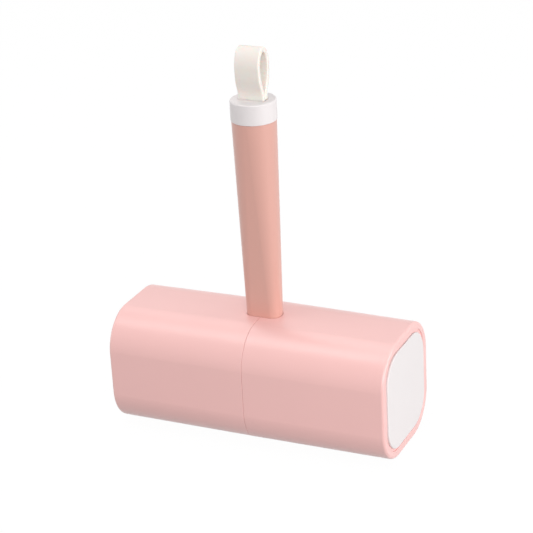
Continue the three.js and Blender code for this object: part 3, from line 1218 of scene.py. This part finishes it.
@dataclass
class Handle:
    """The pink grip with its white cap."""

    shape: HandleShape = HandleShape()
    grip_z: tuple[float, float] = (0.0698, 0.1934)
    grip_wall: float = 0.002
    grip_fillet: float = 0.0002
    cap_radius: float = 0.0133
    cap_z: tuple[float, float] = (0.1935, 0.2056)
    cap_top_fillet: float = 0.0008
    cap_bottom_fillet: float = 0.0004
    cap_roof: float = 0.003
    plug_radius: float = 0.0101
    plug_wall: float = 0.0012
    plug_z: float = 0.184
    lug_half_x: float = 0.006
    lug_y: tuple[float, float] = (0.0045, 0.0065)
    lug_z: float = 0.185
    slot_half: tuple[float, float] = (0.0083, 0.00345)
    slot_corner: float = 0.0006
    slot_mouth: float = 0.0003
    pin_hole: float = 0.0016
    pin_z: float = 0.189

    def build_grip(self) -> Object:
        """Models the hollow grip.

        Returns:
            The grip.
        """
        low, high = self.grip_z
        rings = [
            self.shape.ring(low, 0, self.grip_fillet),
            self.shape.ring(high, 0, self.grip_fillet),
            self.shape.ring(high, self.grip_wall, self.grip_fillet),
            self.shape.ring(low, self.grip_wall, self.grip_fillet),
        ]
        return to_object(loft(rings, Axis.Z, closed=True), "grip")

    def slot_tool(self) -> BMesh:
        """The solid that cuts the strap's slot, with a rounded mouth at the cap's top.

        Returns:
            The solid.
        """
        top = self.cap_z[1]
        opening = Opening(
            self.slot_half, self.slot_corner, self.slot_mouth, arc_steps=4, ring_steps=PIN_STEPS
        )
        return opening.cutter(top - self.cap_roof * 1.3, top, top + OVERLAP)

    def build_cap(self) -> Object:
        """Models the cap with its plug, its lugs and the strap's slot.

        Returns:
            The cap.
        """
        low, high = self.cap_z
        roof = high - self.cap_roof
        bore = self.plug_radius - self.plug_wall
        rings = [
            disc(roof, bore),
            disc(self.plug_z, bore),
            disc(self.plug_z, self.plug_radius, self.grip_fillet),
            disc(low, self.plug_radius),
            disc(low, self.cap_radius, self.cap_bottom_fillet),
            disc(high, self.cap_radius, self.cap_top_fillet),
        ]
        cap = to_object(loft(rings, Axis.Z), "cap")
        lugs = mirrored_blocks((-self.lug_half_x, self.lug_half_x), self.lug_y, (self.lug_z, roof + OVERLAP))
        hole = cross_bore(self.lug_y[1] + OVERLAP, self.pin_hole, self.pin_z)
        return carve(cap, joined=lugs, cut=[self.slot_tool(), hole])

    def make(self, dresser: Dresser) -> None:
        """Builds and dresses the handle.

        Args:
            dresser: what gives pieces their finish and body.
        """
        dresser.dress(self.build_grip(), "handle_tube", Body.FRAME, Slot.HANDLE)
        dresser.dress(self.build_cap(), "handle_cap", Body.FRAME, Slot.WHITE)
        dresser.repaint("handle_wedge", Slot.FRAME)
        dresser.repaint("handle_screw", Slot.STEEL)
        dresser.repaint("handle_washer", Slot.STEEL)
        dresser.repaint("strap_pin", Slot.STEEL)


@dataclass
class HangingStrap:
    """The rubber strap that stands up from the cap as a loop."""

    width: float = 0.015
    flare: float = 0.0008
    thickness: float = 0.003
    edge: float = 0.0007
    leg_y: float = 0.00155
    leg_pull: float = 0.007
    foot_z: float = 0.1855
    cap_top: float = 0.2056
    wide_y: float = 0.0062
    wide_pull: float = 0.0103
    wide_z: float = 0.2243
    top_z: float = 0.2344
    lean: float = 0.0009
    pin_hole: float = 0.0016
    pin_z: float = 0.189
    bore_reach: float = 0.005
    leg_steps: int = 4
    side_steps: int = 20
    crown_steps: int = 24

    def half_line(self) -> list[Vector]:
        """The middle line in (y, z), from the foot of one leg to the crown.

        Returns:
            The points.
        """
        inside = self.cap_top - self.foot_z
        leg = [
            Vector((self.leg_y, self.foot_z + inside * i / self.leg_steps)) for i in range(self.leg_steps)
        ]
        start = Vector((self.leg_y, self.cap_top))
        first = start + Vector((0, self.leg_pull))
        end = Vector((self.wide_y, self.wide_z))
        second = end - Vector((0, self.wide_pull))
        side = []
        for i in range(self.side_steps):
            t = i / self.side_steps
            from_start = start * (1 - t) ** 3 + first * (3 * t * (1 - t) ** 2)
            side.append(from_start + second * (3 * t * t * (1 - t)) + end * t**3)
        rise = self.top_z - self.wide_z
        crown = []
        for i in range(self.crown_steps + 1):
            angle = math.pi / 2 * i / self.crown_steps
            crown.append(Vector((self.wide_y * math.cos(angle), self.wide_z + rise * math.sin(angle))))
        return leg + side + crown

    def build(self) -> Object:
        """Models the strap.

        Returns:
            The strap.
        """
        half = self.half_line()
        line = half + [Vector((-point.x, point.y)) for point in reversed(half[:-1])]
        rings, frames = [], []
        for i, point in enumerate(line):
            along = (line[min(i + 1, len(line) - 1)] - line[max(i - 1, 0)]).normalized()
            rise = min(max((point.y - self.cap_top) / (self.wide_z - self.cap_top), 0), 1)
            rise = rise * rise * (3 - 2 * rise)
            half_width = self.width / 2 * (1 + self.flare / self.width * (1 - rise))
            fillet = self.edge if i in (0, len(line) - 1) else 0.0
            rings.append(Ring(0, half_width, self.thickness / 2, self.edge, fillet * 0.5))
            turn = Matrix(((1, 0, 0), (0, along.y, -along.x), (0, along.x, along.y))).transposed().to_4x4()
            frames.append(Matrix.Translation((0, point.x + self.lean * rise, point.y)) @ turn)
        strap = to_object(sweep(rings, frames), "strap")
        return carve(strap, cut=[cross_bore(self.bore_reach, self.pin_hole, self.pin_z)])

    def make(self, dresser: Dresser) -> None:
        """Builds and dresses the strap.

        Args:
            dresser: what gives pieces their finish and body.
        """
        dresser.dress(self.build(), "strap_loop", Body.FRAME, Slot.RUBBER)


@dataclass
class Yoke:
    """The frame over the roll, which carries its axle pins and the handle's spigot."""

    handle: HandleShape = HandleShape()
    out_x: float = 0.084
    in_x: float = 0.0814
    half_y: float = 0.011
    roll_z: float = 0.031
    bar_z: tuple[float, float] = (0.0612, 0.0658)
    edge: float = 0.0005
    rib_top: float = 0.0686
    rib_y: float = 0.0092
    rib_half: float = 0.0008
    rib_in_x: float = 0.014
    neck_top: float = 0.0695
    spigot_top: float = 0.096
    spigot_inset: float = 0.0025
    screw_hole: float = 0.0021
    counterbore: tuple[float, float] = (0.0046, 0.0648)
    arm_hole: float = 0.0033
    head_hole: tuple[float, float] = (0.0053, 0.0012)
    pin_radius: float = 0.003
    pin_tip: float = 0.0705
    pin_head: tuple[float, float, float] = (0.005, 0.0829, 0.0839)

    def arm(self, side: Side) -> BMesh:
        """One arm, round at its lower end.

        Args:
            side: the side that it stands on.

        Returns:
            The arm.
        """
        low = self.roll_z - self.half_y
        high = self.bar_z[1] + self.half_y * 1.2
        half_z, middle = (high - low) / 2, (high + low) / 2
        ends = sorted((side.value * self.in_x, side.value * self.out_x))
        arm = loft([Ring(end, self.half_y, half_z, self.half_y, self.edge, middle) for end in ends], Axis.X)
        everything = [*arm.verts, *arm.edges, *arm.faces]
        cut = bmesh.ops.bisect_plane(
            arm, geom=everything, plane_co=(0, 0, self.bar_z[1]), plane_no=(0, 0, 1), clear_outer=True
        )
        edges = [item for item in cut["geom_cut"] if isinstance(item, BMEdge)]
        bmesh.ops.holes_fill(arm, edges=edges, sides=0)
        return arm

    def ribs(self) -> list[BMesh]:
        """The four stiffening ribs along the bar's top."""
        ribs = []
        for across in (-self.rib_y, self.rib_y):
            for start, end in ((-self.out_x, -self.rib_in_x), (self.rib_in_x, self.out_x)):
                low = (start, across - self.rib_half, self.bar_z[0] + self.rib_half)
                ribs.append(block(low, (end, across + self.rib_half, self.rib_top), self.rib_half * 0.4))
        return ribs

    def holes(self) -> list[BMesh]:
        """The solids that cut the screw's hole, its counterbore and the axle pins' holes."""
        bore, bore_top = self.counterbore
        below = self.bar_z[0] - OVERLAP
        above = self.spigot_top + OVERLAP
        tools = [
            loft([disc(at, self.screw_hole) for at in (below, above)], Axis.Z, steps=BORE_STEPS),
            loft([disc(at, bore) for at in (below, bore_top)], Axis.Z, steps=TURNED_STEPS),
        ]
        head, depth = self.head_hole
        for side in Side:
            through = sorted(side.value * x for x in (self.in_x - 2 * OVERLAP, self.out_x + 2 * OVERLAP))
            sunk = sorted(side.value * x for x in (self.out_x - depth, self.out_x + 2 * OVERLAP))
            hole = [disc(x, self.arm_hole, centre_b=self.roll_z) for x in through]
            recess = [disc(x, head, centre_b=self.roll_z) for x in sunk]
            tools += [loft(hole, Axis.X, steps=BORE_STEPS), loft(recess, Axis.X, steps=TURNED_STEPS)]
        return tools

    def build(self) -> Object:
        """Models the yoke.

        Returns:
            The yoke.
        """
        low, high = self.bar_z
        bar = block((-self.out_x, -self.half_y, low), (self.out_x, self.half_y, high), self.edge)
        foot = self.handle.ring(high - OVERLAP)
        neck = loft([foot, self.handle.ring(self.neck_top, 0, self.edge)], Axis.Z)
        spigot = loft(
            [
                self.handle.ring(high, self.spigot_inset),
                self.handle.ring(self.spigot_top, self.spigot_inset, self.edge * 2),
            ],
            Axis.Z,
        )
        yoke = to_object(bar, "yoke_frame")
        joined = [self.arm(Side.LEFT), self.arm(Side.RIGHT), *self.ribs(), neck, spigot]
        return carve(yoke, joined=joined, cut=self.holes())

    def build_pin(self, side: Side) -> Object:
        """Models one axle pin.

        Args:
            side: the side that it stands on.

        Returns:
            The pin.
        """
        head, start, end = self.pin_head
        rings = [
            disc(self.pin_tip, self.pin_radius, self.edge, self.roll_z),
            disc(start, self.pin_radius, 0, self.roll_z),
            disc(start, head, self.edge / 3, self.roll_z),
            disc(end, head, self.edge, self.roll_z),
        ]
        pin = loft(rings, Axis.X, steps=TURNED_STEPS)
        if side is Side.LEFT:
            turn_half(pin)
        return to_object(pin, f"axle_{side.word}")

    def make(self, dresser: Dresser) -> None:
        """Builds and dresses the yoke and its pins.

        Args:
            dresser: what gives pieces their finish and body.
        """
        dresser.dress(self.build(), "yoke", Body.FRAME, Slot.FRAME)
        for side in Side:
            dresser.dress(self.build_pin(side), f"axle_pin_{side.word}", Body.FRAME, Slot.FRAME)


@dataclass
class PaperRoll:
    """The refill: hubs, board core, wound adhesive sheets and the outermost sheet."""

    centre_z: float = 0.031
    half: float = 0.0799
    core: tuple[float, float] = (0.019, 0.0205)
    stack: tuple[float, float] = (0.0207, 0.0262)
    stack_fillet: float = 0.0002
    sheet_gap: float = 0.00015
    sheet_thickness: float = 0.00025
    sheet_start: float = 60.0
    sheet_sweep: float = 345.0
    sheet_lift: float = 0.0007
    sheet_lift_from: float = 0.94
    sheet_steps: int = 140
    sheet_cells: int = 8
    bore: float = 0.0031
    boss: tuple[float, float] = (0.006, 0.070)
    spigot: tuple[float, float] = (0.0187, 0.066)
    hub_wall: float = 0.0016
    flange: tuple[float, float, float] = (0.0225, 0.0802, 0.0811)
    hub_fillet: float = 0.0003

    def sleeve(self, radii: tuple[float, float], fillet: float, name: str) -> Object:
        """A tube over the roll's length.

        Args:
            radii: its inner and outer radius.
            fillet: the rounding of its edges.
            name: its name.

        Returns:
            The tube.
        """
        inner, outer = radii
        rings = [
            disc(-self.half, inner, fillet, self.centre_z),
            disc(-self.half, outer, fillet, self.centre_z),
            disc(self.half, outer, fillet, self.centre_z),
            disc(self.half, inner, fillet, self.centre_z),
        ]
        return to_object(loft(rings, Axis.X, closed=True, steps=TUBE_STEPS), name)

    def build_sheet(self) -> Object:
        """Models the outermost sheet, its starting edge standing off a little.

        Returns:
            The sheet.
        """
        points = []
        for step in range(self.sheet_steps + 1):
            share = step / self.sheet_steps
            late = max(0.0, (share - self.sheet_lift_from) / (1 - self.sheet_lift_from))
            radius = self.stack[1] + self.sheet_gap + self.sheet_lift * late * late
            angle = math.radians(self.sheet_start + self.sheet_sweep * share)
            points.append((radius * math.cos(angle), self.centre_z + radius * math.sin(angle)))
        sheet = wide_ribbon(points, self.half, self.sheet_cells)
        bmesh.ops.recalc_face_normals(sheet, faces=sheet.faces)
        centre = Vector((0, 0, self.centre_z))
        outward = sum(face.normal.dot(face.calc_center_median() - centre) for face in sheet.faces)
        if outward > 0:
            bmesh.ops.reverse_faces(sheet, faces=sheet.faces)
        bmesh.ops.solidify(sheet, geom=list(sheet.faces), thickness=self.sheet_thickness)
        bmesh.ops.recalc_face_normals(sheet, faces=sheet.faces)
        return to_object(sheet, "outermost_sheet")

    def build_hub(self, side: Side) -> Object:
        """Models one hub.

        Args:
            side: the side that it stands on.

        Returns:
            The hub.
        """
        boss, boss_x = self.boss
        spigot, spigot_x = self.spigot
        flange, inner_x, outer_x = self.flange
        web_x = inner_x - self.hub_wall
        inside = spigot - self.hub_wall
        profile = [
            (boss_x, self.bore), (boss_x, boss), (web_x, boss), (web_x, inside), (spigot_x, inside),
            (spigot_x, spigot), (inner_x, spigot), (inner_x, flange), (outer_x, flange), (outer_x, self.bore),
        ]
        hub = loft([disc(x, r, self.hub_fillet, self.centre_z) for x, r in profile], Axis.X, closed=True)
        if side is Side.LEFT:
            turn_half(hub)
        return to_object(hub, f"roll_hub_{side.word}")

    def make(self, dresser: Dresser) -> None:
        """Builds and dresses the roll.

        Args:
            dresser: what gives pieces their finish and body.
        """
        core = self.sleeve(self.core, self.stack_fillet, "board_core")
        dresser.dress(core, "core_tube", Body.ROLL, Slot.CARDBOARD)
        stack = self.sleeve(self.stack, self.stack_fillet, "sheet_stack")
        dresser.dress(stack, "adhesive_roll", Body.ROLL, Slot.PAPER)
        dresser.dress(self.build_sheet(), "outer_sheet", Body.ROLL, Slot.PAPER)
        for side in Side:
            dresser.dress(self.build_hub(side), f"hub_{side.word}", Body.ROLL, Slot.FRAME)


# ---------------------------------------------------------------------------
# Studio
# ---------------------------------------------------------------------------


@dataclass(frozen=True)
class SoftBox:
    """A square area light aimed at the object."""

    name: str
    place: tuple[float, float, float]
    size: float
    power: float
    aim: tuple[float, float, float] = (0.0, 0.0, 0.08)

    def build(self) -> None:
        """Sets the light up."""
        data = bpy.data.lights.new(self.name, "AREA")
        data.shape = "SQUARE"
        data.size = self.size
        data.energy = self.power
        lamp = bpy.data.objects.new(self.name, data)
        towards = Vector(self.aim) - Vector(self.place)
        turn = towards.to_track_quat("-Z", "Y").to_matrix().to_4x4()
        lamp.matrix_world = Matrix.Translation(self.place) @ turn
        bpy.context.scene.collection.objects.link(lamp)


@dataclass
class Studio:
    """The camera, the pale floor and the soft lights."""

    azimuth: float = 25.613
    elevation: float = 23.232
    roll: float = -3.188
    distance: float = 1.088033
    target: tuple[float, float, float] = (0.002639, 0.0, 0.103058)
    sensor: float = 36.0
    focal_share: float = 1866.782 / 533
    floor_size: float = 12.0
    floor_white: float = 0.9
    floor_glow: float = 1.08
    floor_grey: float = 0.35
    ambient: float = 0.42
    boxes: tuple[SoftBox, ...] = (
        SoftBox("overhead", (0.0, 0.0, 1.48), 1.1, 3.4),
        SoftBox("front_right", (0.745, -1.193, 0.602), 0.9, 9.1),
        SoftBox("left", (-1.327, -0.279, 0.429), 0.9, 3.5),
        SoftBox("right_low", (1.265, -0.266, 0.213), 0.6, 6.6),
        SoftBox("overhead_left", (-0.509, -0.32, 1.233), 0.5, 2.1),
        SoftBox("right_slim", (1.249, 0.597, 0.288), 0.35, 3.9),
        SoftBox("overhead_back", (-0.424, 0.707, 1.211), 0.8, 2.3),
    )

    def build_camera(self) -> None:
        """Places the camera and makes it the scene's own."""
        angles = (self.azimuth, self.elevation, self.roll)
        azimuth, elevation, roll = (math.radians(angle) for angle in angles)
        level_x = math.sin(azimuth) * math.cos(elevation)
        level_y = -math.cos(azimuth) * math.cos(elevation)
        back = Vector((level_x, level_y, math.sin(elevation)))
        level = Vector((0, 0, 1)).cross(back).normalized()
        upright = back.cross(level)
        right = math.cos(roll) * level + math.sin(roll) * upright
        up = math.cos(roll) * upright - math.sin(roll) * level
        data = bpy.data.cameras.new("camera")
        data.sensor_fit = "HORIZONTAL"
        data.sensor_width = self.sensor
        data.lens = self.focal_share * self.sensor
        data.clip_start = 0.01
        data.clip_end = 50.0
        camera = bpy.data.objects.new("camera", data)
        turn = Matrix((right, up, back)).transposed().to_4x4()
        camera.matrix_world = Matrix.Translation(Vector(self.target) + back * self.distance) @ turn
        bpy.context.scene.collection.objects.link(camera)
        bpy.context.scene.camera = camera

    def seen(self, graph: Graph) -> NodeSocket:
        """One for rays from the camera and for those that gloss or glass sends on."""
        path = graph.add("LightPath")
        glossy = graph.maths("MAXIMUM", path.outputs["Is Glossy Ray"], path.outputs["Is Transmission Ray"])
        return graph.maths("MAXIMUM", path.outputs["Is Camera Ray"], glossy)

    def build_world(self) -> None:
        """Lights the scene from all round and shows white where nothing stands."""
        world = bpy.data.worlds.new("studio")
        world.use_nodes = True
        bpy.context.scene.world = world
        graph = Graph(world.node_tree)
        background = world.node_tree.nodes["Background"]
        background.inputs["Color"].default_value = (1, 1, 1, 1)
        strength = graph.spread(self.seen(graph), 0.0, 1.0, self.ambient, 1.0)
        graph.wire(strength, background.inputs["Strength"])

    def build_floor(self) -> None:
        """Lays the floor, which shows white but keeps the object's soft shadow."""
        bm = bmesh.new()
        bmesh.ops.create_grid(bm, x_segments=1, y_segments=1, size=self.floor_size / 2)
        floor = to_object(bm, "floor")
        material, graph, shader = start_material("floor")
        shader.inputs["Base Color"].default_value = (self.floor_grey,) * 3 + (1,)
        shader.inputs["Roughness"].default_value = 0.8
        shader.inputs["Specular IOR Level"].default_value = 0.0
        white = graph.add("Emission")
        white.inputs["Color"].default_value = (1, 1, 1, 1)
        white.inputs["Strength"].default_value = self.floor_glow
        mix = graph.add("MixShader")
        graph.wire(graph.maths("MULTIPLY", self.seen(graph), self.floor_white), mix.inputs[0])
        graph.wire(shader.outputs[0], mix.inputs[1])
        graph.wire(white.outputs[0], mix.inputs[2])
        graph.wire(mix.outputs[0], material.node_tree.nodes["Material Output"].inputs["Surface"])
        floor.data.materials.append(material)

    def make(self) -> None:
        """Sets the studio up."""
        bpy.context.scene.view_settings.view_transform = "Standard"
        self.build_camera()
        self.build_world()
        self.build_floor()
        for box in self.boxes:
            box.build()


def main() -> None:
    """Builds the studio and every sub-assembly."""
    logging.basicConfig(level=logging.INFO, format="%(name)s: %(message)s")
    Studio().make()
    effects = SharedEffects()
    dresser = Dresser({slot: finish.build(effects) for slot, finish in FINISHES.items()})
    case = (CaseHalf(Side.LEFT), CaseHalf(Side.RIGHT))
    for assembly in (*case, Handle(), HangingStrap(), Yoke(), PaperRoll()):
        assembly.make(dresser)
        log.info("%s done", type(assembly).__name__)


if __name__ == "__main__":
    main()
